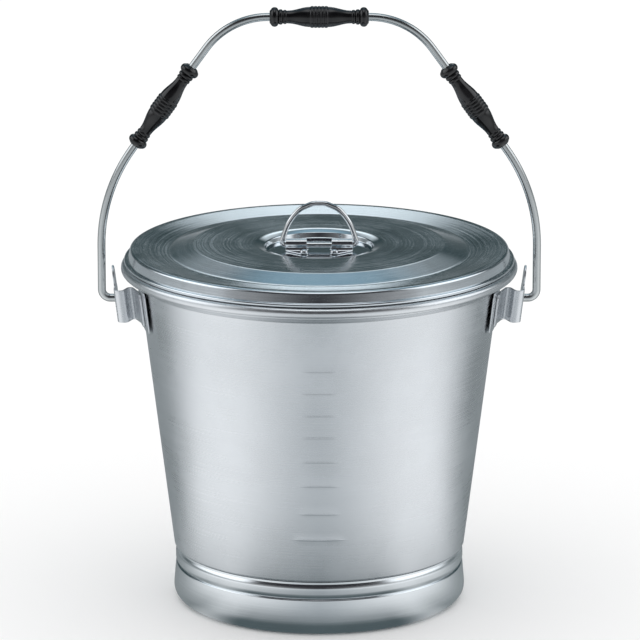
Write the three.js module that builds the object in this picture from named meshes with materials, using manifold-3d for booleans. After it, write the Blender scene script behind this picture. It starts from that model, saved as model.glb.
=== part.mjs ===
// Stainless steel milk pail: tapered wall with a rolled rim, foot ring, lift-off lid with a
// fold-down ring handle, and a wire bail that carries three turned grips.
// Millimetres, +Z up. The origin is on the floor under the pail's centre, and the bail turns about X.
import * as THREE from 'three';
import { mergeVertices } from 'three/addons/utils/BufferGeometryUtils.js';
import Module from 'manifold-3d';

const wasm = await Module();
wasm.setup();

// ---------- driving dimensions ----------

const SEGMENTS = 36; // facets round every spun sheet
const GAP = 0.3; // clearance between pieces that touch
const FILLET_STEPS = 2; // chords in a small rounded corner
const BEND_STEP = 13; // degrees of bend per chord in a wire

// wall and rolled rim
const WALL_SHEET = 0.9;
const WALL_FOOT_RADIUS = 117.75; // middle of the sheet, just above the foot ring
const WALL_FOOT_HEIGHT = 46;
const WALL_TAPER = 0.1248; // growth of the radius per millimetre of height
const WALL_TOP_HEIGHT = 265.8;
const TUCK_RADIUS = 113.85; // lower edge of the wall, tucked into the foot ring
const TUCK_HEIGHT = 34;
const MOUTH_RADIUS = 152.05;
const RIM_RADIUS = 155.8;
const RIM_HEIGHT = 276;
const RIM_CURL = 3.75;
const RIM_WIRE_RADIUS = 3;

// bottom
const PAN_SHEET = 0.8;
const PAN_RADIUS = 112.7;
const PAN_HEIGHT = 41;
const PAN_CORNER = 3;

// foot ring
const FOOT_SHEET = 1;
const COLLAR_RADIUS = 115.1;
const COLLAR_TOP = 43.9;
const BEAD_RADIUS = 116.7; // the swell between the wall and the skirt
const BEAD_TOP = 42.3;
const BEAD_BOTTOM = 30.2;
const SKIRT_RADIUS = 118.1;
const SKIRT_TOP = 29.2;
const FOOT_ROUND = 9.5; // the skirt turns under the pail
const FOOT_CURL = 4.2; // its inner edge turns up again
const FOOT_FLAT = 2; // width of the flat that touches the floor

// lid
const LID_SHEET = 0.7;
const LID_SKIRT_RADIUS = 150;
const LID_SKIRT_BOTTOM = 273.4;
const LID_BEAD_RADIUS = 156;
const LID_BEAD_CURL = 1.2;
const LID_BEAD_HEIGHT = 282.1;
const LID_FACE_RADIUS = 154.1;
const LID_CREST_RADIUS = 152.2;
const LID_CREST_INNER = 146.5;
const LID_CREST_HEIGHT = 291.7;
const GROOVE_RADIUS = 122;
const GROOVE_HEIGHT = 288.9;
const PLATEAU_RADIUS = 101.5;
const PLATEAU_HEIGHT = 294.5;
const RECESS_RADIUS = 51.5; // where the plateau begins to dip
const RECESS_STEP_RADIUS = 44.6;
const RECESS_STEP_HEIGHT = 292.7;
const RECESS_FLOOR_RADIUS = 43.4;
const RECESS_HEIGHT = 288.55;

// ring handle of the lid and its clips
const RING_WIRE_RADIUS = 2.1;
const RING_PIVOT_HEIGHT = 293.2;
const RING_BASE_HALF_WIDTH = 31.2; // to the corner before it is bent
const RING_SHOULDER_HALF_WIDTH = 25;
const RING_SHOULDER_HEIGHT = 313;
const RING_TOP_HALF_WIDTH = 13.5;
const RING_TOP_HEIGHT = 327.6;
const CLIP_SHEET = 0.9;
const CLIP_INNER = 10; // inner end of the folded tube
const CLIP_OUTER = 27;
const CLIP_FOOT_INNER = 8.6;
const CLIP_FOOT_REACH = 16;
const CLIP_TIP = 14.5; // a foot narrows to this distance from the middle
const CLIP_BORE = 3.65;
const CLIP_CROWN_RISE = 0.8; // the bar hangs this far below the middle of the fold
const RIVET_X = 12.2;
const RIVET_ROWS = [-9.4, 9.4]; // in front of the bar and behind it
const RIVET_SHANK = 1.5;
const RIVET_HEAD_RADIUS = 3.2;
const RIVET_HEAD_HEIGHT = 1.5;

// ears
const PAD_SHEET = 1.1;
const PAD_BOTTOM = 230.2;
const PAD_TOP = 264.4;
const PAD_HALF_WIDTH = 47.5;
const PAD_CORNER = 4;
const PAD_FLATTER = 38; // the pad's radius exceeds the wall's, so its ends stand off the wall
const STRAP_SHEET = 1.5;
const STRAP_BOTTOM = 234.1;
const STRAP_TOP = 260.7;
const STRAP_REACH = 163.4; // middle of the outer face at the pivot's height
const STRAP_HALF_WIDTH = 23; // the front of the swell, measured from the bail's axis
const STRAP_FACE_HALF_WIDTH = 20.5;
const STRAP_SWELL = 157.4;
const STRAP_NECK = 6.5;
const STRAP_NECK_REACH = 150.9;
const STRAP_FLANGE = 38;
const STRAP_END = 12; // behind the bail's axis
const TAB_TOP = 276.3;
const TAB_HALF_WIDTH = 9;

// bail
const BAIL_WIRE_RADIUS = 3.25;
const BAIL_SIDES = 8;
const PIVOT_HEIGHT = 249.4;
const BAIL_HALF_WIDTH = 175.6;
const BAIL_FOOT_BEND = 7;
const BAIL_SHOULDER_HEIGHT = 337.3;
const BAIL_SHOULDER_BEND = 137;
const BAIL_TOP_HEIGHT = 480.4;
const BAIL_CROWN_HALF_WIDTH = 72;
const BAIL_CROWN_BEND = 62;
const BAIL_END = 158.6;
const HEAD_RADIUS = 4.8;
const HEAD_THICKNESS = 2.4;
const PIVOT_CLEARANCE = 0.4;

// grips
const GRIP_HALF_LENGTH = 39.6;
const GRIP_BORE = 3.75;
const GRIP_BELLY = 8.25;
const GRIP_NECK = 5.2;
const GRIP_NECK_AT = 25;
const GRIP_BAND = 7; // half the width of the ribbed band
const GRIP_RIBS = 5;
const GRIP_RIB_HEIGHT = 0.55;
const GRIP_SEGMENTS = 12;
const SIDE_GRIP_FROM_SHOULDER = 86.9; // along the wire's straight run, from its lower corner

// ---------- materials ----------

function metal(color, roughness) {
  return new THREE.MeshStandardMaterial({ color, roughness, metalness: 1 });
}

const SATIN_STEEL = metal(0xb9c0c4, 0.38);
const POLISHED_STEEL = metal(0xc6ccd0, 0.16);
const WIRE_STEEL = metal(0xd0d4d6, 0.2);
const BLACK_GLOSS = new THREE.MeshStandardMaterial({ color: 0x060606, roughness: 0.12, metalness: 0 });

// ---------- outlines ----------

// Corners are [x, y, bend radius]. Each bend becomes an arc of short chords.
function bentLine(corners, stepsFor = () => FILLET_STEPS) {
  const points = [];
  corners.forEach(([x, y, bend = 0], i) => {
    const corner = new THREE.Vector2(x, y);
    if (bend === 0) {
      points.push(corner);
      return;
    }
    const back = new THREE.Vector2(corners[i - 1][0], corners[i - 1][1]).sub(corner).normalize();
    const ahead = new THREE.Vector2(corners[i + 1][0], corners[i + 1][1]).sub(corner).normalize();
    const half = Math.acos(back.dot(ahead)) / 2;
    const centre = back.clone().add(ahead).setLength(bend / Math.sin(half)).add(corner);
    const start = corner.clone().addScaledVector(back, bend / Math.tan(half)).sub(centre);
    const end = corner.clone().addScaledVector(ahead, bend / Math.tan(half)).sub(centre);
    const sweep = Math.atan2(start.cross(end), start.dot(end));
    const steps = stepsFor(sweep);
    for (let k = 0; k <= steps; k++) {
      const spoke = start.clone().rotateAround(new THREE.Vector2(), (sweep * k) / steps);
      points.push(spoke.add(centre));
    }
  });
  return points;
}

function arc(x, y, radius, startDegrees, endDegrees, steps) {
  const points = [];
  for (let k = 0; k <= steps; k++) {
    const angle = THREE.MathUtils.degToRad(startDegrees + ((endDegrees - startDegrees) * k) / steps);
    points.push(new THREE.Vector2(x + radius * Math.cos(angle), y + radius * Math.sin(angle)));
  }
  return points;
}

// The line moved sideways by a distance, with mitred corners.
function offsetLine(points, distance) {
  return points.map((point, i) => {
    const before = points[Math.max(i - 1, 0)];
    const after = points[Math.min(i + 1, points.length - 1)];
    const arriving = (i === 0 ? after.clone().sub(point) : point.clone().sub(before)).normalize();
    const leaving = (point === after ? arriving.clone() : after.clone().sub(point)).normalize();
    const normalIn = new THREE.Vector2(-arriving.y, arriving.x);
    const normalOut = new THREE.Vector2(-leaving.y, leaving.x);
    const mitre = normalIn.clone().add(normalOut).normalize();
    return point.clone().addScaledVector(mitre, distance / mitre.dot(normalIn));
  });
}

// The closed outline of a sheet of even thickness that follows a line.
function sheetOutline(line, thickness) {
  const oneSide = offsetLine(line, thickness / 2);
  const otherSide = offsetLine(line, -thickness / 2);
  return [...oneSide, ...otherSide.reverse()];
}

function counterClockwise(outline) {
  return THREE.ShapeUtils.area(outline) < 0 ? outline.slice().reverse() : outline;
}

// ---------- solids ----------

// Outline points are [radius, height]. A ring's outline closes on itself, a disc's ends on the axis.
function spin(outline, segments = SEGMENTS) {
  const profile = counterClockwise(outline);
  const onAxis = profile.some((point) => Math.abs(point.x) < 1e-6);
  if (onAxis) {
    while (Math.abs(profile[0].x) > 1e-6 || Math.abs(profile.at(-1).x) > 1e-6) {
      profile.push(profile.shift());
    }
  } else {
    profile.push(profile[0].clone());
  }
  return new THREE.LatheGeometry(profile, segments).rotateX(Math.PI / 2);
}

// A wire follows its stations one by one, so that its bends can be finer than its straight runs.
class WirePath extends THREE.Curve {
  constructor(stations) {
    super();
    this.stations = stations;
  }

  getUtoTmapping(u) {
    return u;
  }

  getPoint(t) {
    const place = t * (this.stations.length - 1);
    const i = Math.min(Math.floor(place + 1e-6), this.stations.length - 2);
    return this.stations[i].clone().lerp(this.stations[i + 1], place - i);
  }

  getTangent(t) {
    const last = this.stations.length - 1;
    const i = Math.round(t * last);
    const here = this.stations[i];
    const before = i > 0 ? here.clone().sub(this.stations[i - 1]).normalize() : new THREE.Vector3();
    const after = i < last ? this.stations[i + 1].clone().sub(here).normalize() : new THREE.Vector3();
    return before.add(after).normalize();
  }
}

// A round wire in the plane y = 0, along a line of [x, z] points.
function wire(line, radius) {
  const stations = line.map((point) => new THREE.Vector3(point.x, 0, point.y));
  const section = new THREE.Shape();
  for (let k = 0; k < BAIL_SIDES; k++) {
    const angle = (2 * Math.PI * k) / BAIL_SIDES;
    const point = [radius * Math.cos(angle), radius * Math.sin(angle)];
    if (k === 0) section.moveTo(...point);
    else section.lineTo(...point);
  }
  section.closePath();
  return new THREE.ExtrudeGeometry(section, {
    extrudePath: new WirePath(stations),
    steps: stations.length - 1,
  });
}

function wireSteps(sweep) {
  return Math.ceil(Math.abs(THREE.MathUtils.radToDeg(sweep)) / BEND_STEP);
}

function toManifold(geometry) {
  const bare = geometry.clone();
  bare.deleteAttribute('normal');
  bare.deleteAttribute('uv');
  const merged = mergeVertices(bare, 1e-4);
  const vertProperties = new Float32Array(merged.attributes.position.array);
  const triVerts = new Uint32Array(merged.index.array);
  return new wasm.Manifold(new wasm.Mesh({ numProp: 3, vertProperties, triVerts }));
}

function toGeometry(solid) {
  const mesh = solid.getMesh();
  const geometry = new THREE.BufferGeometry();
  geometry.setAttribute('position', new THREE.BufferAttribute(new Float32Array(mesh.vertProperties), 3));
  geometry.setIndex(new THREE.BufferAttribute(new Uint32Array(mesh.triVerts), 1));
  geometry.computeVertexNormals();
  return geometry;
}

// A flat outline in the (y, z) plane, pulled out along X.
function blockAlongX(shape, from, to) {
  const geometry = new THREE.ExtrudeGeometry(shape, { depth: to - from, bevelEnabled: false, curveSegments: 3 });
  geometry.rotateX(Math.PI / 2).rotateZ(Math.PI / 2);
  return geometry.translate(from, 0, 0);
}

function roundedRectangle(left, bottom, right, top, corner) {
  const shape = new THREE.Shape();
  shape.absarc(right - corner, top - corner, corner, 0, Math.PI / 2);
  shape.absarc(left + corner, top - corner, corner, Math.PI / 2, Math.PI);
  shape.absarc(left + corner, bottom + corner, corner, Math.PI, 1.5 * Math.PI);
  shape.absarc(right - corner, bottom + corner, corner, 1.5 * Math.PI, 2 * Math.PI);
  return shape;
}

function rodAlongX(radius, from, to, z, sides) {
  const geometry = new THREE.CylinderGeometry(radius, radius, to - from, sides);
  return geometry.rotateZ(Math.PI / 2).translate((from + to) / 2, 0, z);
}

function wallRadiusAt(height) {
  return WALL_FOOT_RADIUS + (height - WALL_FOOT_HEIGHT) * WALL_TAPER;
}

// ---------- pail ----------

function bodyWall() {
  const line = [
    ...bentLine([
      [TUCK_RADIUS, TUCK_HEIGHT],
      [TUCK_RADIUS, WALL_FOOT_HEIGHT - 0.8, 1],
      [WALL_FOOT_RADIUS, WALL_FOOT_HEIGHT, 1],
      [wallRadiusAt(WALL_TOP_HEIGHT), WALL_TOP_HEIGHT, 3],
      [MOUTH_RADIUS, WALL_TOP_HEIGHT + 4.6, 2],
      [MOUTH_RADIUS, RIM_HEIGHT - 1.5],
    ]),
    ...arc(RIM_RADIUS, RIM_HEIGHT, RIM_CURL, 180, -120, 10),
  ];
  return spin(sheetOutline(line, WALL_SHEET));
}

function rimWire() {
  return spin(arc(RIM_RADIUS, RIM_HEIGHT, RIM_WIRE_RADIUS, 0, 315, 7));
}

function bottomPan() {
  const line = bentLine([
    [0, PAN_HEIGHT],
    [PAN_RADIUS, PAN_HEIGHT, PAN_CORNER],
    [PAN_RADIUS, TUCK_HEIGHT],
  ]);
  return spin(sheetOutline(line, PAN_SHEET));
}

function footRing() {
  const line = [
    ...bentLine([
      [COLLAR_RADIUS, COLLAR_TOP],
      [COLLAR_RADIUS + 0.1, BEAD_TOP],
      [BEAD_RADIUS, BEAD_TOP - 2.7],
      [BEAD_RADIUS, BEAD_BOTTOM + 3.2],
      [COLLAR_RADIUS + 0.15, BEAD_BOTTOM],
      [SKIRT_RADIUS - 1.5, SKIRT_TOP],
    ]),
    ...arc(SKIRT_RADIUS - FOOT_ROUND, FOOT_ROUND + FOOT_SHEET / 2, FOOT_ROUND, 0, -90, 4),
    ...arc(SKIRT_RADIUS - FOOT_ROUND - FOOT_FLAT, FOOT_CURL + FOOT_SHEET / 2, FOOT_CURL, -90, -225, 4),
  ];
  return spin(sheetOutline(line, FOOT_SHEET));
}

// ---------- ears ----------

// A curved plate welded to the wall behind the ear. It is flatter than the wall.
function earPad(side) {
  const inner = WALL_SHEET / 2 + GAP;
  const outer = inner + PAD_SHEET;
  const low = wallRadiusAt(PAD_BOTTOM) + PAD_FLATTER;
  const high = wallRadiusAt(PAD_TOP) + PAD_FLATTER;
  const ring = spin([
    new THREE.Vector2(low + inner, PAD_BOTTOM),
    new THREE.Vector2(low + outer, PAD_BOTTOM),
    new THREE.Vector2(high + outer, PAD_TOP),
    new THREE.Vector2(high + inner, PAD_TOP),
  ], 2 * SEGMENTS).translate(-side * PAD_FLATTER, 0, 0);
  const outline = roundedRectangle(-PAD_HALF_WIDTH, PAD_BOTTOM, PAD_HALF_WIDTH, PAD_TOP, PAD_CORNER);
  const reach = side < 0 ? [-200, -100] : [100, 200];
  return toGeometry(toManifold(ring).intersect(toManifold(blockAlongX(outline, ...reach))));
}

// A strap whose flange hugs the pad in front of the bail. Its outer face carries on up as a tab.
// It is made for the right side, where the flange lies toward -Y, and turned over for the left.
function earStrap(side) {
  const padRadius = wallRadiusAt(PIVOT_HEIGHT) + PAD_FLATTER + WALL_SHEET / 2 + GAP + PAD_SHEET;
  const flangeRadius = padRadius + GAP + STRAP_SHEET / 2;
  const onFlange = (y) => [Math.sqrt(flangeRadius ** 2 - y ** 2) - PAD_FLATTER, y];
  const path = [
    onFlange(STRAP_FLANGE),
    onFlange(STRAP_FLANGE - 5),
    onFlange(STRAP_FLANGE - 10),
    onFlange(STRAP_FLANGE - 14.5),
    [STRAP_NECK_REACH, STRAP_NECK, 2.2],
    [STRAP_SWELL, STRAP_HALF_WIDTH, 3.6],
    [STRAP_REACH, STRAP_FACE_HALF_WIDTH, 3.6],
    [STRAP_REACH, -STRAP_END],
  ].map(([x, y, bend]) => [x, -side * y, bend]);
  const stepsFor = () => 3;
  const outline = sheetOutline(bentLine(path, stepsFor), STRAP_SHEET);
  const height = STRAP_TOP - STRAP_BOTTOM;
  const loop = new THREE.ExtrudeGeometry(new THREE.Shape(outline), { depth: height, bevelEnabled: false });
  loop.translate(0, 0, STRAP_BOTTOM);

  const tabOutline = roundedRectangle(
    -TAB_HALF_WIDTH,
    STRAP_TOP - 6,
    TAB_HALF_WIDTH,
    TAB_TOP,
    TAB_HALF_WIDTH * 0.98,
  );
  const face = STRAP_REACH - STRAP_SHEET / 2;
  const tab = blockAlongX(tabOutline, face, face + STRAP_SHEET);

  // every level moves outward as the wall's own radius does
  const lean = new THREE.Matrix4().makeShear(0, 0, 0, 0, WALL_TAPER, 0);
  const shift = -PIVOT_HEIGHT * WALL_TAPER;
  const plate = toManifold(loop).add(toManifold(tab));
  const leaning = toManifold(toGeometry(plate).applyMatrix4(lean).translate(shift, 0, 0));
  const hole = rodAlongX(BAIL_WIRE_RADIUS + PIVOT_CLEARANCE, STRAP_REACH - 6, STRAP_REACH + 6, PIVOT_HEIGHT, 16);
  const strap = toGeometry(leaning.subtract(toManifold(hole)));
  return side < 0 ? strap.rotateZ(Math.PI) : strap;
}

// ---------- lid ----------

// One pressed sheet: skirt inside the mouth, bead on the rim, raised shoulder, groove, plateau, recess.
function lidShell() {
  const line = [
    ...bentLine([
      [0, RECESS_HEIGHT],
      [RECESS_FLOOR_RADIUS, RECESS_HEIGHT, 1.2],
      [RECESS_STEP_RADIUS, RECESS_STEP_HEIGHT, 0.8],
      [RECESS_RADIUS, PLATEAU_HEIGHT, 20],
      [PLATEAU_RADIUS, PLATEAU_HEIGHT, 6],
      [GROOVE_RADIUS, GROOVE_HEIGHT, 12],
      [LID_CREST_INNER, LID_CREST_HEIGHT, 10],
      [LID_CREST_RADIUS, LID_CREST_HEIGHT, 2.4],
      [LID_FACE_RADIUS, LID_BEAD_HEIGHT + LID_BEAD_CURL, 0.8],
      [LID_BEAD_RADIUS - 0.5, LID_BEAD_HEIGHT + LID_BEAD_CURL],
    ]),
    ...arc(LID_BEAD_RADIUS, LID_BEAD_HEIGHT, LID_BEAD_CURL, 90, -90, 4),
    ...bentLine([
      [LID_BEAD_RADIUS - 1, LID_BEAD_HEIGHT - LID_BEAD_CURL],
      [LID_SKIRT_RADIUS, LID_BEAD_HEIGHT - LID_BEAD_CURL, 1.2],
      [LID_SKIRT_RADIUS, LID_SKIRT_BOTTOM],
    ]),
  ];
  const pressed = toManifold(spin(sheetOutline(line, LID_SHEET)));
  const places = RIVET_ROWS.flatMap((y) => [[-RIVET_X, y], [RIVET_X, y]]);
  return toGeometry(places.reduce((solid, [x, y]) => solid.subtract(rivetHole(x, y)), pressed));
}

// A strip folded over the ring's bar, with a riveted foot to the front and one to the back.
function handleClip(side) {
  const foot = clipFootHeight();
  const crown = CLIP_BORE + CLIP_SHEET / 2;
  const over = arc(0, RING_PIVOT_HEIGHT + CLIP_CROWN_RISE, crown, 0, 180, 6);
  const line = [
    ...bentLine([[CLIP_FOOT_REACH, foot], [crown + 0.8, foot, 1], [crown, foot + 2.2]]),
    ...over,
    ...bentLine([[-crown, foot + 2.2], [-crown - 0.8, foot, 1], [-CLIP_FOOT_REACH, foot]]),
  ];
  const strip = new THREE.Shape(sheetOutline(line, CLIP_SHEET));
  const folded = toManifold(blockAlongX(strip, CLIP_FOOT_INNER, CLIP_OUTER));

  const fold = crown + 1.1;
  const half = [
    [CLIP_INNER, fold],
    [CLIP_FOOT_INNER, fold + 1.4],
    [CLIP_FOOT_INNER, CLIP_FOOT_REACH - 2],
    [CLIP_FOOT_INNER + 2, CLIP_FOOT_REACH + 0.1],
    [CLIP_TIP, CLIP_FOOT_REACH + 0.1],
    [CLIP_OUTER + 0.1, fold],
  ];
  const mirrored = half.map(([x, y]) => [x, -y]).reverse();
  const plan = new THREE.Shape([...half, ...mirrored].map(([x, y]) => new THREE.Vector2(x, y)));
  const column = new THREE.ExtrudeGeometry(plan, { depth: 30, bevelEnabled: false });
  column.translate(0, 0, RECESS_HEIGHT - 10);

  const trimmed = folded.intersect(toManifold(column));
  const clip = toGeometry(RIVET_ROWS.reduce((solid, y) => solid.subtract(rivetHole(RIVET_X, y)), trimmed));
  return side < 0 ? clip.rotateZ(Math.PI) : clip;
}

function clipFootHeight() {
  return RECESS_HEIGHT + LID_SHEET / 2 + GAP + CLIP_SHEET / 2;
}

function rivetHole(x, y) {
  const hole = new THREE.CylinderGeometry(RIVET_SHANK + GAP, RIVET_SHANK + GAP, 10, 12);
  return toManifold(hole.rotateX(Math.PI / 2).translate(x, y, RECESS_HEIGHT));
}

// A domed head on the clip's foot, a shank through the lid and a flattened tail under it.
function rivet(x, y) {
  const seat = clipFootHeight() + CLIP_SHEET / 2 + GAP;
  const under = RECESS_HEIGHT - LID_SHEET / 2 - GAP;
  const outline = [
    [0, seat + RIVET_HEAD_HEIGHT],
    [1.7, seat + RIVET_HEAD_HEIGHT - 0.22],
    [2.8, seat + RIVET_HEAD_HEIGHT - 0.8],
    [RIVET_HEAD_RADIUS, seat],
    [RIVET_SHANK, seat],
    [RIVET_SHANK, under],
    [2.6, under],
    [2.4, under - 0.8],
    [0, under - 0.8],
  ];
  return spin(outline.map(([radius, z]) => new THREE.Vector2(radius, z)), 12).translate(x, y, 0);
}

// A closed ring: a straight bar through the clips and a rounded triangular arch.
function lidRing() {
  const half = [
    [0, RING_PIVOT_HEIGHT],
    [RING_BASE_HALF_WIDTH, RING_PIVOT_HEIGHT, 3.2],
    [RING_SHOULDER_HALF_WIDTH, RING_SHOULDER_HEIGHT, 40],
    [RING_TOP_HALF_WIDTH, RING_TOP_HEIGHT, 16],
    [0, RING_TOP_HEIGHT],
  ];
  const right = bentLine(half, wireSteps);
  const left = right.slice(0, -1).map((point) => new THREE.Vector2(-point.x, point.y)).reverse();
  return wire([...right, ...left], RING_WIRE_RADIUS);
}

// ---------- bail ----------

function bailCorners() {
  const right = [
    [BAIL_END, PIVOT_HEIGHT],
    [BAIL_HALF_WIDTH, PIVOT_HEIGHT, BAIL_FOOT_BEND],
    [BAIL_HALF_WIDTH, BAIL_SHOULDER_HEIGHT, BAIL_SHOULDER_BEND],
    [BAIL_CROWN_HALF_WIDTH, BAIL_TOP_HEIGHT, BAIL_CROWN_BEND],
  ];
  const left = right.map(([x, z, bend]) => [-x, z, bend]).reverse();
  return [...right, ...left];
}

function bailWire() {
  let solid = toManifold(wire(bentLine(bailCorners(), wireSteps), BAIL_WIRE_RADIUS));
  for (const from of [BAIL_END, -BAIL_END - HEAD_THICKNESS]) {
    solid = solid.add(toManifold(rodAlongX(HEAD_RADIUS, from, from + HEAD_THICKNESS, PIVOT_HEIGHT, 12)));
  }
  return toGeometry(solid);
}

// A turned grip about Z: bore, belly with a ribbed band, neck, and beads at both ends.
function grip() {
  const half = [];
  const pitch = (2 * GRIP_BAND) / GRIP_RIBS;
  for (let k = 0; k < GRIP_RIBS / 2; k++) {
    const middle = k * pitch;
    if (k > 0) half.push([GRIP_BELLY - 0.1, middle - pitch / 2]);
    half.push([GRIP_BELLY + GRIP_RIB_HEIGHT, middle]);
  }
  half.push([GRIP_BELLY - 0.1, GRIP_BAND]);
  for (const share of [0.35, 0.7]) {
    const drop = (1 - Math.cos(Math.PI * share)) / 2;
    const at = GRIP_BAND + (GRIP_NECK_AT - GRIP_BAND) * share;
    half.push([GRIP_BELLY - (GRIP_BELLY - GRIP_NECK) * drop, at]);
  }
  half.push([GRIP_NECK, GRIP_NECK_AT]);
  half.push([5.7, 27.6], [5.2, 29.2]); // inner bead
  half.push([6.2, 30.4], [6.1, 31.6], [5.8, 32.2]); // middle bead
  half.push([7.2, 33], [7.9, 34.4], [7.7, 36.6], [6.2, 38.6]); // end bead
  half.push([4.7, GRIP_HALF_LENGTH], [GRIP_BORE, GRIP_HALF_LENGTH]);
  const upper = half.map(([radius, at]) => new THREE.Vector2(radius, at));
  const lower = half.slice(1).map(([radius, at]) => new THREE.Vector2(radius, -at)).reverse();
  return spin([...lower, ...upper], GRIP_SEGMENTS);
}

// ---------- assembly ----------

const model = new THREE.Group();

function place(name, geometry, material, group = model) {
  const mesh = new THREE.Mesh(geometry, material.clone());
  mesh.name = name;
  group.add(mesh);
  return mesh;
}

place('body_wall', bodyWall(), SATIN_STEEL);
place('rim_wire', rimWire(), WIRE_STEEL);
place('bottom_pan', bottomPan(), SATIN_STEEL);
place('foot_ring', footRing(), POLISHED_STEEL);

const lid = new THREE.Group();
model.add(lid);
place('lid_shell', lidShell(), POLISHED_STEEL, lid);
place('lid_ring', lidRing(), WIRE_STEEL, lid);

for (const [word, side] of [['left', -1], ['right', 1]]) {
  place(`ear_pad_${word}`, earPad(side), SATIN_STEEL);
  place(`ear_strap_${word}`, earStrap(side), SATIN_STEEL);
  place(`handle_clip_${word}`, handleClip(side), POLISHED_STEEL, lid);
  for (const y of RIVET_ROWS) {
    place(`rivet_${word}_${y < 0 ? 'front' : 'back'}`, rivet(side * RIVET_X, y), POLISHED_STEEL, lid);
  }
}

const bail = new THREE.Group();
model.add(bail);
place('bail_wire', bailWire(), WIRE_STEEL, bail);

const gripCenter = place('grip_center', grip(), BLACK_GLOSS, bail);
gripCenter.position.set(0, 0, BAIL_TOP_HEIGHT);
gripCenter.rotation.y = Math.PI / 2;

const rise = BAIL_TOP_HEIGHT - BAIL_SHOULDER_HEIGHT;
const run = BAIL_HALF_WIDTH - BAIL_CROWN_HALF_WIDTH;
const along = SIDE_GRIP_FROM_SHOULDER / Math.hypot(rise, run);
for (const [word, side] of [['left', -1], ['right', 1]]) {
  const sideGrip = place(`grip_${word}`, grip(), BLACK_GLOSS, bail);
  sideGrip.position.set(side * (BAIL_HALF_WIDTH - run * along), 0, BAIL_SHOULDER_HEIGHT + rise * along);
  sideGrip.rotation.y = -side * Math.atan2(run, rise);
}

export default model;
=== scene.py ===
import math

import bmesh
import bpy
import numpy as np
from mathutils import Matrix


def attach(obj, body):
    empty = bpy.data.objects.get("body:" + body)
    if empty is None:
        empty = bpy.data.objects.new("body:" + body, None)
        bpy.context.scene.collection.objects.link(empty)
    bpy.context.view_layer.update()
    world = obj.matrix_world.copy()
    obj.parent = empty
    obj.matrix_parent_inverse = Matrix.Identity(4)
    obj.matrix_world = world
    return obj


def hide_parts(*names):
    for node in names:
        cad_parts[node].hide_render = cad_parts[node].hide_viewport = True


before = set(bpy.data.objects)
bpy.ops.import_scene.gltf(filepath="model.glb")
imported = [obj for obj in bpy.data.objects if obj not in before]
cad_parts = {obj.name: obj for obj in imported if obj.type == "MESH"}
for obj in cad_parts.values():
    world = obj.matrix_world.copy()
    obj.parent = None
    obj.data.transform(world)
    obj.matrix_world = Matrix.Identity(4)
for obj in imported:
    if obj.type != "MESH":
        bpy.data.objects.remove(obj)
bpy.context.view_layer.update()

# A lidded stainless pail. X is to the right, the front faces -Y, and the floor is at Z = 0.

MM = 0.001
TURN = 288  # facets round a spun piece

# ---------- dimensions of the part, in millimetres ----------

# Pairs are (radius or half width, height). Sizes go to the middle of a sheet or wire.

GAP = 0.3  # between sheets that lie on each other

WALL_SHEET = 0.9
WALL_FOOT = (117.75, 46.0)
WALL_TAPER = 0.1248  # radius gained for each millimetre of height
WALL_TOP = 265.8
TUCK = (113.85, 34.0)  # the wall's lower edge, inside the foot ring
MOUTH_RADIUS = 152.05
RIM = (155.8, 276.0)  # the middle of the rolled rim
RIM_CURL = 3.75

# Height and half width of each raised litre line on the front.
LITRE_LINES = [
    (81.5, 18.5), (103.7, 14), (127.5, 14), (148.1, 14), (168.7, 14), (187.0, 14), (205.4, 14), (224.0, 14),
]
LINE_RISE = 0.22
LINE_HALF_HEIGHT = 1.0
LINE_END = 1.5  # half the length over which a line's end fades

BOTTOM_SHEET = 0.8
BOTTOM_RADIUS = 112.7
BOTTOM_HEIGHT = 41.0

FOOT_SHEET = 1.0
FOOT_COLLAR = (115.1, 43.9)
FOOT_SWELL_RADIUS = 116.7
FOOT_SWELL_TOP = 42.3
FOOT_SWELL_BOTTOM = 30.2
FOOT_SKIRT = 118.1
FOOT_SKIRT_TOP = 29.2
FOOT_ROUND = 9.5
FOOT_CURL = 4.2
FOOT_FLAT = 2.0  # the ring that the pail stands on

PAD_SHEET = 1.1
PAD_FLATTER = 38.0  # how much larger the pad's radius of curvature is than the wall's
PAD_LOW = 230.2  # heights of the pad's edges
PAD_HIGH = 264.4
PAD_HALF_WIDTH = 47.5
PAD_CORNER = 4.0

STRAP_SHEET = 1.5
STRAP_LOW = 234.1  # heights of the strap's edges
STRAP_HIGH = 260.7
STRAP_REACH = 163.4  # from the pail's axis to the strap's outer face
STRAP_END = 12.0  # how far the outer face runs past the bail's axis
TAB_TOP = 276.3
TAB_HALF_WIDTH = 9.0
EAR_HOLE = 3.65

LID_SHEET = 0.7
LID_SKIRT_RADIUS = 150.0
LID_SKIRT_FOOT = 273.4
LID_BEAD = (156.0, 282.1)
LID_BEAD_CURL = 1.2
LID_SHOULDER_RADIUS = 154.1
LID_CREST_RADIUS = 152.2
LID_CREST_INNER = 146.5
LID_CREST_HEIGHT = 291.7
GROOVE = (122.0, 288.9)
PLATEAU = (101.5, 294.5)
RECESS_RADIUS = 51.5
RECESS_STEP = (44.6, 292.7)
RECESS_FLOOR_RADIUS = 43.4
RECESS_FLOOR = 288.55

CLIP_SHEET = 0.9
CLIP_BORE = 3.65
CLIP_RISE = 0.8  # the crown's centre above the ring's bar
CLIP_REACH = 16.0  # from the bar to the end of each foot
CLIP_OUTER = 27.0  # from the middle of the lid, as are the next three
CLIP_FLAP = 14.5
CLIP_INNER = 10.0
CLIP_TONGUE = 8.6
RIVET_X = 12.2  # from the middle of the lid
RIVET_Y = 9.4
RIVET_HOLE = 1.8
RIVET_SHANK = 1.5
RIVET_HEAD = 3.25
RIVET_DOME = 1.75

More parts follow.
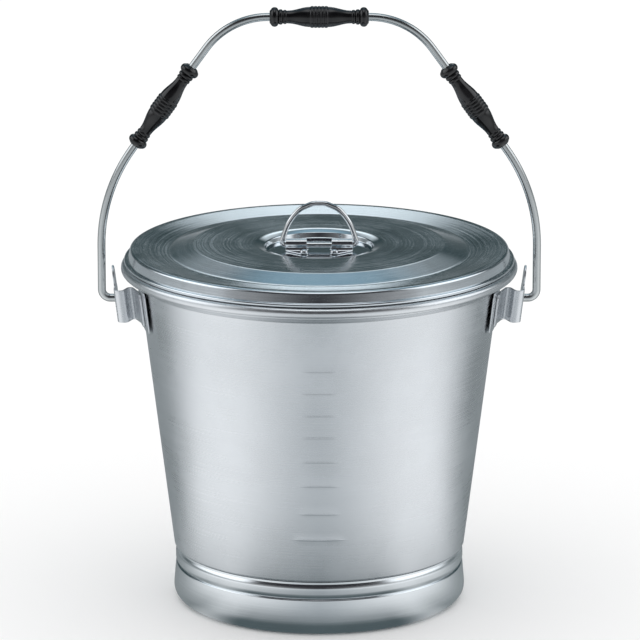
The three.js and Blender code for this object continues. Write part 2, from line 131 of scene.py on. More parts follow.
RING_PIVOT = 293.2
RING_WIRE = 2.1
RING_BASE_HALF_WIDTH = 31.2
RING_SHOULDER = (24.5, 313.0)
RING_UPPER = (15.5, 323.2)
RING_PEAK_HALF_WIDTH = 5.0
RING_TOP = 327.6

WIRE = 3.25
PIVOT = 249.4  # height of the bail's axis
BAIL_END = 158.6  # where the wire starts, inside the ear's outer face
BAIL_HALF_WIDTH = 175.6
BAIL_SHOULDER = 337.3
BAIL_CROWN_HALF_WIDTH = 72.0
BAIL_TOP = 480.4

GRIP_BELLY = 8.25
GRIP_NECK = 5.2
GRIP_BAND = 7.0  # half the length of the ribbed band
GRIP_TAPER_END = 25.0
SIDE_GRIP_AT = 86.9  # along the wire from the shoulder


def wall_radius(height):
    return WALL_FOOT[0] + (height - WALL_FOOT[1]) * WALL_TAPER


# ---------- lines in a plane ----------


def bent_line(corners, step=5.0):
    """A line through corners of (x, y) or (x, y, bend radius), its bends cut in steps of so many degrees."""
    points = []
    for i, corner in enumerate(corners):
        here = np.array(corner[:2], float)
        bend = corner[2] if len(corner) > 2 else 0
        if bend == 0:
            points.append(here)
            continue
        back = np.array(corners[i - 1][:2], float) - here
        ahead = np.array(corners[i + 1][:2], float) - here
        back /= np.linalg.norm(back)
        ahead /= np.linalg.norm(ahead)
        half = math.acos(np.clip(back @ ahead, -1, 1)) / 2
        middle = back + ahead
        centre = here + middle / np.linalg.norm(middle) * bend / math.sin(half)
        start = here + back * bend / math.tan(half) - centre
        end = here + ahead * bend / math.tan(half) - centre
        sweep = math.atan2(start[0] * end[1] - start[1] * end[0], start @ end)
        steps = max(2, math.ceil(abs(math.degrees(sweep)) / step))
        for k in range(steps + 1):
            a = sweep * k / steps
            c, s = math.cos(a), math.sin(a)
            points.append(centre + (start[0] * c - start[1] * s, start[0] * s + start[1] * c))
    return points


def arc(x, y, radius, start, end, step=8.0):
    steps = max(2, math.ceil(abs(end - start) / step))
    angles = np.radians(np.linspace(start, end, steps + 1))
    return [np.array((x + radius * math.cos(a), y + radius * math.sin(a))) for a in angles]


def circle(x, y, radius, count):
    angles = np.linspace(0, 2 * math.pi, count, endpoint=False)
    return [(x + radius * math.cos(a), y + radius * math.sin(a)) for a in angles]


def refined(line, heights):
    """The line with extra points at these heights on its straight runs."""
    out = [line[0]]
    for a, b in zip(line, line[1:]):
        inside = [h for h in heights if min(a[1], b[1]) + 0.05 < h < max(a[1], b[1]) - 0.05]
        for h in sorted(inside, reverse=bool(b[1] < a[1])):
            out.append(a + (b - a) * (h - a[1]) / (b[1] - a[1]))
        out.append(b)
    return out


def directions(line):
    """The unit directions in which a line reaches and leaves each of its points."""
    line = np.array(line)
    leaving = np.diff(line, axis=0)
    leaving /= np.linalg.norm(leaving, axis=1)[:, None]
    arriving = np.vstack([leaving[:1], leaving])
    leaving = np.vstack([leaving, leaving[-1:]])
    return arriving, leaving


def halfway(first, second):
    """The unit directions halfway between two sets of directions."""
    middle = first + second
    return middle / np.linalg.norm(middle, axis=1)[:, None]


def offset(line, distance):
    """The line moved to its left."""
    arriving, leaving = directions(line)
    normal_in = np.stack([-arriving[:, 1], arriving[:, 0]], 1)
    normal_out = np.stack([-leaving[:, 1], leaving[:, 0]], 1)
    mitre = halfway(normal_in, normal_out)
    return np.array(line) + mitre * (distance / np.sum(mitre * normal_in, axis=1))[:, None]


def sheet(line, thickness):
    """The closed outline of a sheet along a line, its two edges rounded."""
    left, right = offset(line, thickness / 2), offset(line, -thickness / 2)
    arriving, leaving = directions(line)
    first = line[0] - leaving[0] * thickness * 0.25
    last = line[-1] + arriving[-1] * thickness * 0.25
    return np.vstack([left, [last], right[::-1], [first]])


def capped(outline):
    """The outline of a disc's section, cut off at the axis."""
    outline[:, 0] = np.maximum(outline[:, 0], 0)
    return outline


# ---------- meshes ----------


def finish_mesh(name, vertices, faces, material, body, slot, node, sharp=35.0):
    """A visible piece on this body, in place of the CAD node."""
    mesh = bpy.data.meshes.new(name)
    mesh.from_pydata(np.asarray(vertices).tolist(), [], faces)
    bm = bmesh.new()
    bm.from_mesh(mesh)
    bmesh.ops.remove_doubles(bm, verts=bm.verts, dist=1e-7)
    bmesh.ops.dissolve_degenerate(bm, edges=bm.edges, dist=1e-8)
    bmesh.ops.recalc_face_normals(bm, faces=bm.faces)
    bm.to_mesh(mesh)
    bm.free()
    mesh.shade_smooth()
    mesh.set_sharp_from_angle(angle=math.radians(sharp))
    mesh.materials.append(material)
    piece = bpy.data.objects.new(name, mesh)
    bpy.context.scene.collection.objects.link(piece)
    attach(piece, body)
    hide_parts(node)


def lathe_grid(outline, turn, relief=None):
    """Vertices and faces of a closed outline of (radius, height) points, spun about Z."""
    outline = np.asarray(outline)
    count = len(outline)
    angles = np.linspace(0, 2 * math.pi, turn, endpoint=False)
    radius = np.repeat(outline[None, :, 0], turn, axis=0)
    height = np.repeat(outline[None, :, 1], turn, axis=0)
    around = np.repeat(angles[:, None], count, axis=1)
    if relief is not None:
        radius = radius + relief(around, radius, height)
    grid = np.stack([radius * np.sin(around), -radius * np.cos(around), height], axis=2)
    faces = []
    for i in range(turn):
        j = (i + 1) % turn
        for k in range(count):
            m = (k + 1) % count
            faces.append((i * count + k, j * count + k, j * count + m, i * count + m))
    return grid.reshape(-1, 3), faces


def spun(name, outline, *args, turn=TURN, relief=None, place=None, **kwargs):
    """A piece turned about Z. relief adds to the radius, and place moves the vertices."""
    vertices, faces = lathe_grid(outline, turn, relief)
    if place is not None:
        vertices = place(vertices)
    finish_mesh(name, vertices * MM, faces, *args, **kwargs)


def swept(name, stations, radii, closed, *args, sides=28, **kwargs):
    """A round wire in the plane y = 0 through (x, z) stations."""
    stations = np.asarray(stations)
    count = len(stations)
    if closed:
        loop = [stations[-1], *stations, stations[0]]
        tangent = halfway(*directions(loop))[1:-1]
    else:
        tangent = halfway(*directions(stations))
    side = np.stack([-tangent[:, 1], tangent[:, 0]], 1)
    angles = np.linspace(0, 2 * math.pi, sides, endpoint=False)
    vertices = []
    for point, across, radius in zip(stations, side, radii):
        for a in angles:
            x, z = point + across * radius * math.cos(a)
            vertices.append((x, radius * math.sin(a), z))
    faces = []
    for i in range(count if closed else count - 1):
        j = (i + 1) % count
        for k in range(sides):
            m = (k + 1) % sides
            faces.append((i * sides + k, i * sides + m, j * sides + m, j * sides + k))
    if not closed:
        faces.append(tuple(range(sides)))
        faces.append(tuple((count - 1) * sides + k for k in range(sides)))
    finish_mesh(name, np.array(vertices) * MM, faces, *args, **kwargs)


def rounded_outline(corners):
    """A closed outline whose corners are (x, y, radius)."""
    corners = [corners[-1][:2], *corners, corners[0][:2]]
    return bent_line(corners, 9)[1:-1]


def flat_plate(outline, holes, thickness, rounding, cuts):
    """Vertices and faces of a flat plate in x and y with rounded edges, cut in strips along x."""
    data = bpy.data.curves.new("outline", "CURVE")
    data.dimensions = "2D"
    data.fill_mode = "BOTH"
    data.extrude = thickness / 2 - rounding
    data.bevel_depth = rounding
    data.bevel_resolution = 2
    data.offset = -rounding
    for loop in [outline, *holes]:
        spline = data.splines.new("POLY")
        spline.points.add(len(loop) - 1)
        for point, (x, y) in zip(spline.points, loop):
            point.co = (x, y, 0, 1)
        spline.use_cyclic_u = True
    shape = bpy.data.objects.new("outline", data)
    bpy.context.scene.collection.objects.link(shape)
    bpy.context.view_layer.update()
    mesh = bpy.data.meshes.new_from_object(shape.evaluated_get(bpy.context.evaluated_depsgraph_get()))
    bm = bmesh.new()
    bm.from_mesh(mesh)
    bmesh.ops.remove_doubles(bm, verts=bm.verts, dist=1e-4)
    for x in cuts:
        everything = bm.verts[:] + bm.edges[:] + bm.faces[:]
        bmesh.ops.bisect_plane(bm, geom=everything, dist=1e-5, plane_co=(x, 0, 0), plane_no=(1, 0, 0))
    bm.verts.index_update()
    vertices = np.array([v.co[:] for v in bm.verts])
    faces = [tuple(v.index for v in face.verts) for face in bm.faces]
    bm.free()
    bpy.data.objects.remove(shape)
    bpy.data.curves.remove(data)
    bpy.data.meshes.remove(mesh)
    return vertices, faces


def along(line, distance, out):
    """Points at these distances along a line from its middle, moved out to its left side."""
    line = np.asarray(line)
    tangent = halfway(*directions(line))
    run = np.concatenate([[0], np.cumsum(np.linalg.norm(np.diff(line, axis=0), axis=1))])
    run -= run[-1] / 2
    x, y = (np.interp(distance, run, line[:, i]) for i in (0, 1))
    tx, ty = (np.interp(distance, run, tangent[:, i]) for i in (0, 1))
    size = np.hypot(tx, ty)
    return x - ty / size * out, y + tx / size * out


def line_length(line):
    return float(np.sum(np.linalg.norm(np.diff(np.asarray(line), axis=0), axis=1)))


# ---------- node tools ----------


class Nodes:
    def __init__(self, tree):
        self.tree = tree
        tree.nodes.clear()

    def add(self, kind, links=None, **settings):
        node = self.tree.nodes.new(kind)
        for key, value in settings.items():
            setattr(node, key, value)
        for key, value in (links or {}).items():
            socket = node.inputs[key]
            if isinstance(value, bpy.types.NodeSocket):
                self.tree.links.new(value, socket)
            else:
                socket.default_value = value
        return node

    def math(self, operation, *values):
        links = dict(enumerate(values))
        return self.add("ShaderNodeMath", links, operation=operation).outputs[0]

    def length(self, x, y):
        squares = [self.math("MULTIPLY", value, value) for value in (x, y)]
        return self.math("SQRT", self.math("ADD", *squares))

    def remap(self, value, low, high, to_low=0.0, to_high=1.0):
        links = {"Value": value, "From Min": low, "From Max": high, "To Min": to_low, "To Max": to_high}
        return self.add("ShaderNodeMapRange", links, interpolation_type="SMOOTHSTEP").outputs["Result"]

    def mix(self, factor, a, b):
        node = self.add("ShaderNodeMix", data_type="RGBA")
        for socket, value in ((node.inputs[0], factor), (node.inputs[6], a), (node.inputs[7], b)):
            if isinstance(value, bpy.types.NodeSocket):
                self.tree.links.new(value, socket)
            elif isinstance(value, (int, float)):
                socket.default_value = value
            else:
                socket.default_value = (*value, 1)
        return node.outputs[2]

    def noise(self, vector, scale, detail, roughness):
        links = {"Vector": vector, "Scale": scale, "Detail": detail, "Roughness": roughness}
        return self.add("ShaderNodeTexNoise", links).outputs["Fac"]

    def scaled(self, vector, x, y, z):
        links = {0: vector, 1: (x, y, z)}
        return self.add("ShaderNodeVectorMath", links, operation="MULTIPLY").outputs[0]


def new_material(name):
    material = bpy.data.materials.new(name)
    material.use_nodes = True
    return material, Nodes(material.node_tree)


def end_material(nodes, shader):
    out = nodes.add("ShaderNodeOutputMaterial")
    nodes.tree.links.new(shader.outputs[0], out.inputs["Surface"])


# ---------- the studio, as the steel sees it ----------

# Cards are laid over the surround in turn, each over those before it. They are seen only in reflections.
# Each is (azimuth, half width, elevation, half height, edge softness, colour), in degrees. Azimuth 0 is the
# front, 90 the side and 180 the back. A card shows on both the left and the right.
SURROUND = (0.09, 0.11, 0.12)
CARDS = [
    (180, 100, 6, 21, 6, (0.035, 0.06, 0.066)),  # darkness low behind
    (180, 9, 28, 6, 4, (1.25, 1.38, 1.45)),  # a small window above it
    (180, 70, 45, 7, 5, (0.3, 0.46, 0.56)),  # two pale blue strips above the window
    (180, 70, 61, 9, 5, (0.26, 0.38, 0.46)),
    (90, 32, 33, 20, 7, (1.5, 1.55, 1.6)),  # a bright wall at each side
    (0, 60, 30, 34, 10, (0.035, 0.035, 0.04)),  # darkness in front
    (0, 200, 90, 20, 8, (1.3, 1.35, 1.4)),  # the ceiling
    # The cards from here on lie below the horizon. The floor's glow paints them into reflections as painted
    # light and painted shade.
    (0, 200, -90, 92, 6, (0.56, 0.6, 0.63)),  # the floor, as a painted reflection in the floor's glow
    (66, 40, -50, 52, 36, (1.14, 1.16, 1.18)),  # painted light on the floor at both sides, seen only in reflections
    (112, 58, -64, 26, 16, (0.26, 0.29, 0.3)),  # painted shade on the floor beside the pail
    (180, 78, -50, 52, 22, (0.26, 0.29, 0.3)),  # and painted shade behind it
    (0, 50, -67, 30, 16, (0.1, 0.13, 0.14)),  # and a painted contact shadow just in front of its foot
]
BACKDROP = (1.12, 1.12, 1.12)  # what the camera and matt surfaces see
PAPER = (0.93, 0.93, 0.93, 1)
FLOOR_RADIUS = 80.0  # metres
EYE = (0, 0, 0.16)  # the point, in metres, from which the floor's painted glow shows its cards

CAMERA_AT = (0.00065, -4.2, 1.314784)  # metres
CAMERA_PITCH = 14.473  # degrees down
CAMERA_LENS = 301.4293  # millimetres
CAMERA_SENSOR = 36
CAMERA_REACH = 300  # metres


def studio(nodes, vector):
    """The colour of the studio in this direction."""
    split = nodes.add("ShaderNodeSeparateXYZ", {0: vector})
    x, y, z = split.outputs
    azimuth = nodes.math("ABSOLUTE", nodes.math("ARCTAN2", x, nodes.math("MULTIPLY", y, -1.0)))
    elevation = nodes.math("ARCTAN2", z, nodes.length(x, y))
    colour = SURROUND
    for at, half_width, up, half_height, soft, tint in CARDS:
        soft = math.radians(soft)
        parts = []
        for value, centre, half in ((azimuth, at, half_width), (elevation, up, half_height)):
            away = nodes.math("ABSOLUTE", nodes.math("SUBTRACT", value, math.radians(centre)))
            edge = math.radians(half)
            parts.append(nodes.remap(away, edge - soft, edge + soft, 1.0, 0.0))
        colour = nodes.mix(nodes.math("MULTIPLY", *parts), colour, tint)
    return colour


def make_world():
    """The studio for reflections, and a plain pale light for all else."""
    world = bpy.data.worlds.new("studio")
    world.use_nodes = True
    bpy.context.scene.world = world
    nodes = Nodes(world.node_tree)
    direction = nodes.add("ShaderNodeTexCoord").outputs["Generated"]
    path = nodes.add("ShaderNodeLightPath")
    plain = nodes.math("MAXIMUM", path.outputs["Is Camera Ray"], path.outputs["Is Diffuse Ray"])
    colour = nodes.mix(plain, studio(nodes, direction), BACKDROP)
    background = nodes.add("ShaderNodeBackground", {"Color": colour, "Strength": 1.0})
    out = nodes.add("ShaderNodeOutputWorld")
    world.node_tree.links.new(background.outputs[0], out.inputs["Surface"])
    world.cycles.sampling_method = "NONE"


def make_floor():
    """White paper to the camera and matt surfaces. To whatever is reflected in the steel it shows the
    studio's low cards as a painted glow, with painted light and painted shade round the pail.
    """
    bm = bmesh.new()
    bmesh.ops.create_circle(bm, cap_ends=True, segments=96, radius=FLOOR_RADIUS)
    mesh = bpy.data.meshes.new("floor")
    bm.to_mesh(mesh)
    bm.free()
    floor = bpy.data.objects.new("floor", mesh)
    bpy.context.scene.collection.objects.link(floor)
    material, nodes = new_material("floor_paper_painted_glow")
    place = nodes.add("ShaderNodeNewGeometry").outputs["Position"]
    toward = nodes.add("ShaderNodeVectorMath", {0: place, 1: EYE}, operation="SUBTRACT").outputs[0]
    # The glow seen in reflections is painted light and painted shade, not light that falls on the floor.
    seen = nodes.add("ShaderNodeEmission", {"Color": studio(nodes, toward), "Strength": 1.0})
    paper = nodes.add("ShaderNodeBsdfDiffuse", {"Color": PAPER})
    path = nodes.add("ShaderNodeLightPath")
    mixed = nodes.add("ShaderNodeMixShader", {0: path.outputs["Is Glossy Ray"]})
    nodes.tree.links.new(paper.outputs[0], mixed.inputs[1])
    nodes.tree.links.new(seen.outputs[0], mixed.inputs[2])
    end_material(nodes, mixed)
    mesh.materials.append(material)


def make_camera():
    data = bpy.data.cameras.new("camera")
    data.sensor_width = CAMERA_SENSOR
    data.lens = CAMERA_LENS
    data.clip_end = CAMERA_REACH
    camera = bpy.data.objects.new("camera", data)
    camera.location = CAMERA_AT
    camera.rotation_euler = (math.radians(90 - CAMERA_PITCH), 0, 0)
    bpy.context.scene.collection.objects.link(camera)
    bpy.context.scene.camera = camera


# ---------- finishes ----------

SMUDGE = 0.05  # how far the slow patches change the roughness
LEAST_ROUGH = 0.02
LINE_DEPTH = 0.00012  # metres
PORE_DEPTH = 0.0001


def steel(name, colour, roughness, around, fine, bump, polished_within=None):
    """Stainless steel, with faint lines round Z, slow patches and a fine grain.

    around is how far the lines change the roughness, and fine is the height of the grain in the bump.
    Inside the radius polished_within, in metres, the steel is less than half as rough.
    """
    material, nodes = new_material(name)
    place = nodes.add("ShaderNodeTexCoord").outputs["Object"]
    split = nodes.add("ShaderNodeSeparateXYZ", {0: place})
    x, y, z = split.outputs
    radius = nodes.length(x, y)
    ring = nodes.add("ShaderNodeCombineXYZ", {0: radius, 2: z}).outputs[0]
    links = {0: nodes.scaled(ring, 900, 1, 900), 1: nodes.scaled(place, 6, 6, 0)}
    round_place = nodes.add("ShaderNodeVectorMath", links, operation="ADD").outputs[0]
    lines = nodes.noise(round_place, 1.0, 4.0, 0.7)
    patches = nodes.noise(nodes.scaled(place, 14, 14, 14), 1.0, 4.0, 0.6)
    specks = nodes.noise(place, 700.0, 2.0, 0.6)

    rough = nodes.remap(patches, 0.3, 0.7, roughness - SMUDGE, roughness + SMUDGE)
    rough = nodes.math("ADD", rough, nodes.remap(lines, 0.3, 0.7, -around, around))
    if polished_within is not None:
        inside = nodes.remap(radius, polished_within - 0.001, polished_within + 0.001, 0.45, 1.0)
        rough = nodes.math("MULTIPLY", rough, inside)
    rough = nodes.math("MAXIMUM", rough, LEAST_ROUGH)

    dark = tuple(c * 0.9 for c in colour)
    light = tuple(min(1, c * 1.06) for c in colour)
    tone = nodes.mix(nodes.remap(patches, 0.35, 0.65), dark, colour)
    tone = nodes.mix(nodes.remap(lines, 0.35, 0.75, 0.0, 0.35), tone, light)

    height = nodes.math("ADD", nodes.math("MULTIPLY", lines, 0.8), nodes.math("MULTIPLY", specks, fine))
    rise = nodes.add("ShaderNodeBump", {"Height": height, "Strength": bump, "Distance": LINE_DEPTH})
    links = {"Base Color": tone, "Metallic": 1.0, "Roughness": rough, "Normal": rise.outputs[0]}
    end_material(nodes, nodes.add("ShaderNodeBsdfPrincipled", links))
    return material


def black_plastic():
    material, nodes = new_material("grip_black_gloss")
    place = nodes.add("ShaderNodeTexCoord").outputs["Object"]
    cloud = nodes.noise(place, 60.0, 3.0, 0.6)
    pores = nodes.noise(place, 900.0, 2.0, 0.6)
    tone = nodes.mix(nodes.remap(cloud, 0.35, 0.65), (0.003, 0.003, 0.0035), (0.008, 0.008, 0.009))
    rough = nodes.remap(cloud, 0.3, 0.7, 0.07, 0.17)
    rise = nodes.add("ShaderNodeBump", {"Height": pores, "Strength": 0.12, "Distance": PORE_DEPTH})
    links = {"Base Color": tone, "Roughness": rough, "Normal": rise.outputs[0], "IOR": 1.5}
    end_material(nodes, nodes.add("ShaderNodeBsdfPrincipled", links))
    return material


SATIN = steel("satin_wall", (0.74, 0.76, 0.78), 0.30, around=0.05, fine=0.3, bump=0.3)
POLISHED = steel("polished_rim", (0.78, 0.8, 0.82), 0.13, around=0.03, fine=0.1, bump=0.12)
FOOT = steel("foot_polished", (0.76, 0.79, 0.81), 0.17, around=0.03, fine=0.1, bump=0.12)
LID = steel("lid_spun", (0.72, 0.76, 0.79), 0.15, around=0.05, fine=0.1, bump=0.2, polished_within=0.052)
BRIGHT = steel("wire_bright", (0.8, 0.81, 0.82), 0.12, around=0.02, fine=0.4, bump=0.1)
BAIL = steel("bail_drawn", (0.56, 0.58, 0.58), 0.2, around=0.02, fine=0.4, bump=0.1)
BLACK = black_plastic()


# ---------- pail ----------


def litre_relief(around, radius, height):
    """How far the litre lines rise from the wall, with soft edges and ends."""
    side = np.sin(around) * radius
    front = np.cos(around) > 0
    rise = np.zeros_like(radius)
    for level, half_width in LITRE_LINES:
        up = np.clip(np.abs(height - level) / LINE_HALF_HEIGHT, 0, 1)
        out = np.clip((np.abs(side) - half_width + LINE_END) / (2 * LINE_END), 0, 1)
        rise += LINE_RISE * (0.5 + 0.5 * np.cos(math.pi * up)) * (0.5 + 0.5 * np.cos(math.pi * out)) * front
    return rise


def make_wall():
    """The tapered wall, from inside the foot ring to the rolled rim, with points for the litre lines."""
    rows = list(np.arange(WALL_FOOT[1] + 6, WALL_TOP - 3, 12.0))
    for level, _ in LITRE_LINES:
        rows += [level + LINE_HALF_HEIGHT * share for share in (-1.0, -0.66, -0.33, 0, 0.33, 0.66, 1.0)]
    line = [
        *bent_line([
            TUCK,
            (TUCK[0], WALL_FOOT[1] - 0.8, 1),
            (*WALL_FOOT, 1),
            (wall_radius(WALL_TOP), WALL_TOP, 3),
            (MOUTH_RADIUS, WALL_TOP + 4.6, 2),
            (MOUTH_RADIUS, RIM[1] - 1.5),
        ]),
        *arc(*RIM, RIM_CURL, 180, -120, 10),
    ]
    outline = sheet(refined(line, rows), WALL_SHEET)
    spun("wall", outline, SATIN, "pail", "satin_steel", "body_wall", relief=litre_relief)


def make_bottom():
    line = bent_line([(0, BOTTOM_HEIGHT), (BOTTOM_RADIUS, BOTTOM_HEIGHT, 3), (BOTTOM_RADIUS, TUCK[1])])
    spun("bottom", capped(sheet(line, BOTTOM_SHEET)), SATIN, "pail", "satin_steel", "bottom_pan")


def make_foot():
    """A collar, a swell, a skirt, a large round turned under and a small inner curl, in one sheet."""
    round_at = FOOT_SKIRT - FOOT_ROUND
    under = FOOT_SHEET / 2
    line = [
        *bent_line([
            FOOT_COLLAR,
            (FOOT_COLLAR[0] + 0.1, FOOT_SWELL_TOP, 0.6),
            (FOOT_SWELL_RADIUS, FOOT_SWELL_TOP - 2.7, 6),
            (FOOT_SWELL_RADIUS, FOOT_SWELL_BOTTOM + 3.2, 6),
            (FOOT_COLLAR[0] + 0.15, FOOT_SWELL_BOTTOM, 0.5),
            (FOOT_SKIRT - 1.5, FOOT_SKIRT_TOP, 0.7),
            (FOOT_SKIRT, FOOT_ROUND + 2.5),
        ], 3),
        *arc(round_at, FOOT_ROUND + under, FOOT_ROUND, 0, -90, 4),
        *arc(round_at - FOOT_FLAT, FOOT_CURL + under, FOOT_CURL, -90, -225),
    ]
    spun("foot_ring_rolled", sheet(line, FOOT_SHEET), FOOT, "pail", "polished_steel", "foot_ring")


# ---------- ears ----------


def make_ear_pad(word, side):
    """A plate curved less than the wall, which it lies on at the middle, so its ends stand off."""
    edges = [(-1, PAD_LOW), (1, PAD_LOW), (1, PAD_HIGH), (-1, PAD_HIGH)]
    outline = rounded_outline([(end * PAD_HALF_WIDTH, height, PAD_CORNER) for end, height in edges])
    flat, faces = flat_plate(outline, [], PAD_SHEET, 0.3, np.arange(1.5 - PAD_HALF_WIDTH, PAD_HALF_WIDTH, 2))
    reach = wall_radius(flat[:, 1]) + PAD_FLATTER + WALL_SHEET / 2 + GAP + PAD_SHEET / 2 + flat[:, 2]
    across = np.arcsin(flat[:, 0] / (wall_radius(PIVOT) + PAD_FLATTER + 1))
    x = reach * np.cos(across) - PAD_FLATTER
    vertices = np.stack([side * x, reach * np.sin(across), flat[:, 1]], 1)
    finish_mesh(f"ear_plate_{word}", vertices * MM, faces, SATIN, "pail", "satin_steel", f"ear_pad_{word}")


def strap_path():
    """The strap from above: a flange on the pad in front, a wavy limb and the flat outer face."""
    flange = wall_radius(PIVOT) + PAD_FLATTER + WALL_SHEET / 2 + GAP + PAD_SHEET + GAP + STRAP_SHEET / 2

    def on_flange(y):
        return (math.sqrt(flange**2 - y**2) - PAD_FLATTER, -y)

    return bent_line([
        *[on_flange(y) for y in (38, 35.5, 33, 30.5, 28, 25.5, 23.5)],
        (150.9, -6.5, 2.2),
        (157.4, -23, 3.6),
        (STRAP_REACH, -20.5, 3.6),
        (STRAP_REACH, 0),
        (STRAP_REACH, STRAP_END),
    ], 6)


def make_ear_strap(word, side):
    """A bent strap whose outer face has a hole for the bail and a rounded tab on top."""
    path = strap_path()
    length = line_length(path)
    pivot = length - STRAP_END
    tab, neck = TAB_HALF_WIDTH, STRAP_HIGH + 2
    outline = rounded_outline([
        (0, STRAP_LOW, 3),
        (length, STRAP_LOW, 5),
        (length, STRAP_HIGH, 5),
        (pivot + tab + 1.2, STRAP_HIGH, 1),
        (pivot + tab, neck, 0.6),
        (pivot + tab, TAB_TOP, tab - 0.2),
        (pivot - tab, TAB_TOP, tab - 0.2),
        (pivot - tab, neck, 0.6),
        (pivot - tab - 1.2, STRAP_HIGH, 2),
        (0, STRAP_HIGH, 3),
    ])
    hole = circle(pivot, PIVOT, EAR_HOLE, 40)
    flat, faces = flat_plate(outline, [hole], STRAP_SHEET, 0.35, np.arange(1, length, 0.8))
    x, y = along(path, flat[:, 0] - length / 2, flat[:, 2])
    x = x + (flat[:, 1] - PIVOT) * WALL_TAPER
    vertices = np.stack([side * x, y, flat[:, 1]], 1)
    finish_mesh(f"ear_hook_{word}", vertices * MM, faces, SATIN, "pail", "satin_steel", f"ear_strap_{word}")


# ---------- lid ----------


def make_lid():
    """One pressed sheet from the recess in the middle to the skirt inside the mouth."""
    bead, bead_height = LID_BEAD
    bead_top, bead_bottom = bead_height + LID_BEAD_CURL, bead_height - LID_BEAD_CURL
    line = [
        *bent_line([
            (0, RECESS_FLOOR),
            (RECESS_FLOOR_RADIUS, RECESS_FLOOR, 1.2),
            (*RECESS_STEP, 0.8),
            (RECESS_RADIUS, PLATEAU[1], 20),
            (*PLATEAU, 6),
            (*GROOVE, 12),
            (LID_CREST_INNER, LID_CREST_HEIGHT, 10),
            (LID_CREST_RADIUS, LID_CREST_HEIGHT, 2.4),
            (LID_SHOULDER_RADIUS, bead_top, 0.8),
            (bead - 0.5, bead_top),
        ], 4),
        *arc(bead, bead_height, LID_BEAD_CURL, 90, -90, 15),
        *bent_line([
            (bead - 1, bead_bottom),
            (LID_SKIRT_RADIUS, bead_bottom, 1.2),
            (LID_SKIRT_RADIUS, LID_SKIRT_FOOT),
        ]),
    ]
    spun("lid_pressed", capped(sheet(line, LID_SHEET)), LID, "lid", "lid_steel", "lid_shell")


def make_clip(word, side):
    """A strip folded over the ring's bar: two feet on the recess, which narrow to a riveted flap."""
    foot = RECESS_FLOOR + LID_SHEET / 2 + GAP + CLIP_SHEET / 2
    crown = CLIP_BORE + CLIP_SHEET / 2
    path = [
        *bent_line([(-CLIP_REACH, foot), (-crown - 0.8, foot, 1), (-crown, foot + 2.2)]),
        *arc(0, RING_PIVOT + CLIP_RISE, crown, 180, 0),
        *bent_line([(crown, foot + 2.2), (crown + 0.8, foot, 1), (CLIP_REACH, foot)]),
    ]
    end = line_length(path) / 2
    fold = end - CLIP_REACH + crown + 1.1
    half = [
        (fold, CLIP_OUTER, 1.2),
        (end, CLIP_FLAP, 2),
        (end, CLIP_TONGUE, 2.5),
        (fold + 1.4, CLIP_TONGUE, 0.6),
        (fold, CLIP_INNER, 0.6),
    ]
    outline = rounded_outline([*half, *[(-run, x, bend) for run, x, bend in reversed(half)]])
    holes = [circle(row * (end - CLIP_REACH + RIVET_Y), RIVET_X, RIVET_HOLE, 24) for row in (-1, 1)]
    flat, faces = flat_plate(outline, holes, CLIP_SHEET, 0.25, np.arange(-end + 1, end, 0.7))
    y, z = along(path, flat[:, 0], flat[:, 2])
    vertices = np.stack([side * flat[:, 1], y, z], 1)
    node = f"handle_clip_{word}"
    finish_mesh(f"clip_{word}", vertices * MM, faces, POLISHED, "lid", "polished_steel", node)


def rivet_outline():
    seat = RECESS_FLOOR + LID_SHEET / 2 + GAP + CLIP_SHEET
    under = RECESS_FLOOR - LID_SHEET / 2 - GAP
    dome_at = seat + 0.25
    angles = np.radians(np.arange(0, 91, 7.5))
    return [
        *[(RIVET_HEAD * math.sin(a), dome_at + RIVET_DOME * math.cos(a)) for a in angles],
        (RIVET_HEAD - 0.15, seat + 0.05),
        (RIVET_SHANK, seat + 0.05),
        (RIVET_SHANK, under),
        *arc(RIVET_SHANK, under - 0.4, 1.0, 30, -60, 15),
        (0, under - 0.9),
    ]


def make_rivets():
    outline = rivet_outline()
    for word, x in (("left", -RIVET_X), ("right", RIVET_X)):
        for row, y in (("front", -RIVET_Y), ("back", RIVET_Y)):
            spun(
                f"domed_rivet_{word}_{row}", outline, POLISHED,
                "lid", "polished_steel", f"rivet_{word}_{row}",
                turn=40, place=lambda v, x=x, y=y: v + (x, y, 0),
            )


def make_ring():
    """A straight bar through the clips and an arch with a rounded peak."""
    right = bent_line([
        (0, RING_PIVOT),
        (RING_BASE_HALF_WIDTH, RING_PIVOT, 3.2),
        (*RING_SHOULDER, 40),
        (*RING_UPPER, 14),
        (RING_PEAK_HALF_WIDTH, RING_TOP, 12),
        (0, RING_TOP),
    ], 4)
    left = [np.array((-x, z)) for x, z in reversed(right[1:-1])]
    stations = [*right, *left]
    radii = [RING_WIRE] * len(stations)
    swept("ring", stations, radii, True, BRIGHT, "ring_handle", "wire_steel", "lid_ring")


# ---------- bail ----------


def make_bail():
    """One bent wire, with a head at each end inside the ear."""
    right = [
        (BAIL_END, PIVOT),
        (BAIL_HALF_WIDTH, PIVOT, 7),
        (BAIL_HALF_WIDTH, BAIL_SHOULDER, 137),
        (BAIL_CROWN_HALF_WIDTH, BAIL_TOP, 62),
    ]
    left = [(-p[0], *p[1:]) for p in reversed(right)]
    line = bent_line([*right, *left], 2.5)
    # Each step of the head is (radius, distance along the wire).
    head = [
        (4.1, -2.4), (4.6, -2.2), (4.8, -1.7), (4.8, -0.5),
        (4.5, -0.1), (3.9, 0), (3.4, 0.05), (WIRE, 0.4),
    ]
    start = [np.array((BAIL_END + at, PIVOT)) for _, at in head]
    end = [p * (-1, 1) for p in reversed(start)]
    sizes = [radius for radius, _ in head]
    stations = [*start, *line[1:-1], *end]
    radii = [*sizes, *[WIRE] * (len(line) - 2), *reversed(sizes)]
    swept("bail", stations, radii, False, BAIL, "bail", "wire_steel", "bail_wire")


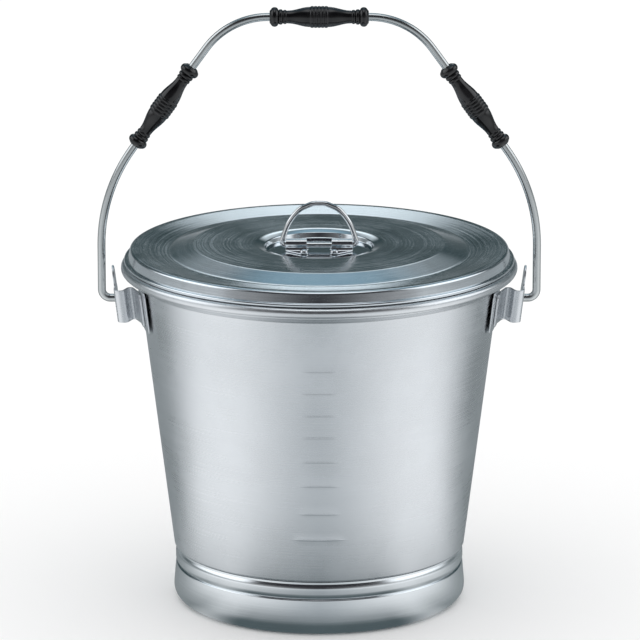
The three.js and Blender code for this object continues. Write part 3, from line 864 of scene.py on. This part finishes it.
def grip_outline():
    """Half a grip from its middle out, then the same mirrored: ribs, a waist, two rings and a ball end."""

    def bump(radius, swell, middle, reach, angles):
        turns = [math.radians(a) for a in angles]
        return [(radius + swell * math.cos(a), middle + reach * math.sin(a)) for a in turns]

    pitch = 2 * GRIP_BAND / 5
    ribs = (GRIP_BELLY - 0.05, 0.6)
    half = bump(*ribs, 0, pitch / 2 * 0.96, np.linspace(0, 90, 5))
    for k in (1, 2):
        half += bump(*ribs, k * pitch, pitch / 2 * 0.96, np.linspace(-90, 90, 9))
    waist_start, waist_radius = GRIP_BAND + 0.2, GRIP_BELLY - 0.15
    for share in np.linspace(0, 1, 14):
        drop = (1 - math.cos(math.pi * share)) / 2
        radius = waist_radius - (waist_radius - GRIP_NECK) * drop
        half.append((radius, waist_start + (GRIP_TAPER_END - waist_start) * share))
    for centre, bulge, low, high in ((27.4, 5.75, 26.0, 28.9), (30.8, 6.2, 29.2, 32.3)):
        half += bump(bulge - 0.9, 0.9, centre, (high - low) / 2, np.linspace(-80, 80, 9))
    half += bump(5.2, 2.7, 35.6, 3.1, np.linspace(-75, 70, 17))
    half += [(5.4, 39.2), (4.9, 39.5), (4.5, 39.6), (4.0, 39.6), (3.75, 39.35)]
    lower = [(radius, -z) for radius, z in reversed(half) if z > 1e-6]
    return [*lower, *half]


def make_grips():
    rise, run = BAIL_TOP - BAIL_SHOULDER, BAIL_HALF_WIDTH - BAIL_CROWN_HALF_WIDTH
    share = SIDE_GRIP_AT / math.hypot(rise, run)
    tilt = math.atan2(run, rise)
    x, z = BAIL_HALF_WIDTH - run * share, BAIL_SHOULDER + rise * share
    outline = grip_outline()
    grips = (
        ("center", "middle_grip", (0, BAIL_TOP), math.pi / 2),
        ("left", "left_grip", (-x, z), tilt),
        ("right", "right_grip", (x, z), -tilt),
    )
    for word, body, at, turn in grips:
        c, s = math.cos(turn), math.sin(turn)
        spin = np.array([[c, 0, s], [0, 1, 0], [-s, 0, c]])
        spun(
            f"turned_grip_{word}", outline, BLACK, body, "grip_black", f"grip_{word}", turn=96,
            place=lambda v, spin=spin, at=at: v @ spin.T + (at[0], 0, at[1]), sharp=50,
        )


# ---------- assembly ----------

bpy.context.scene.view_settings.view_transform = "Standard"
make_world()
make_floor()
make_camera()
make_wall()
make_bottom()
make_foot()
make_lid()
make_ring()
for word, side in (("left", -1), ("right", 1)):
    make_ear_pad(word, side)
    make_ear_strap(word, side)
    make_clip(word, side)
make_rivets()
make_bail()
make_grips()

# The wire inside the rolled rim is out of sight. It keeps the frame's own mesh, in wire steel.
rim_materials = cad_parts["rim_wire"].data.materials
rim_materials.clear()
rim_materials.append(BRIGHT)
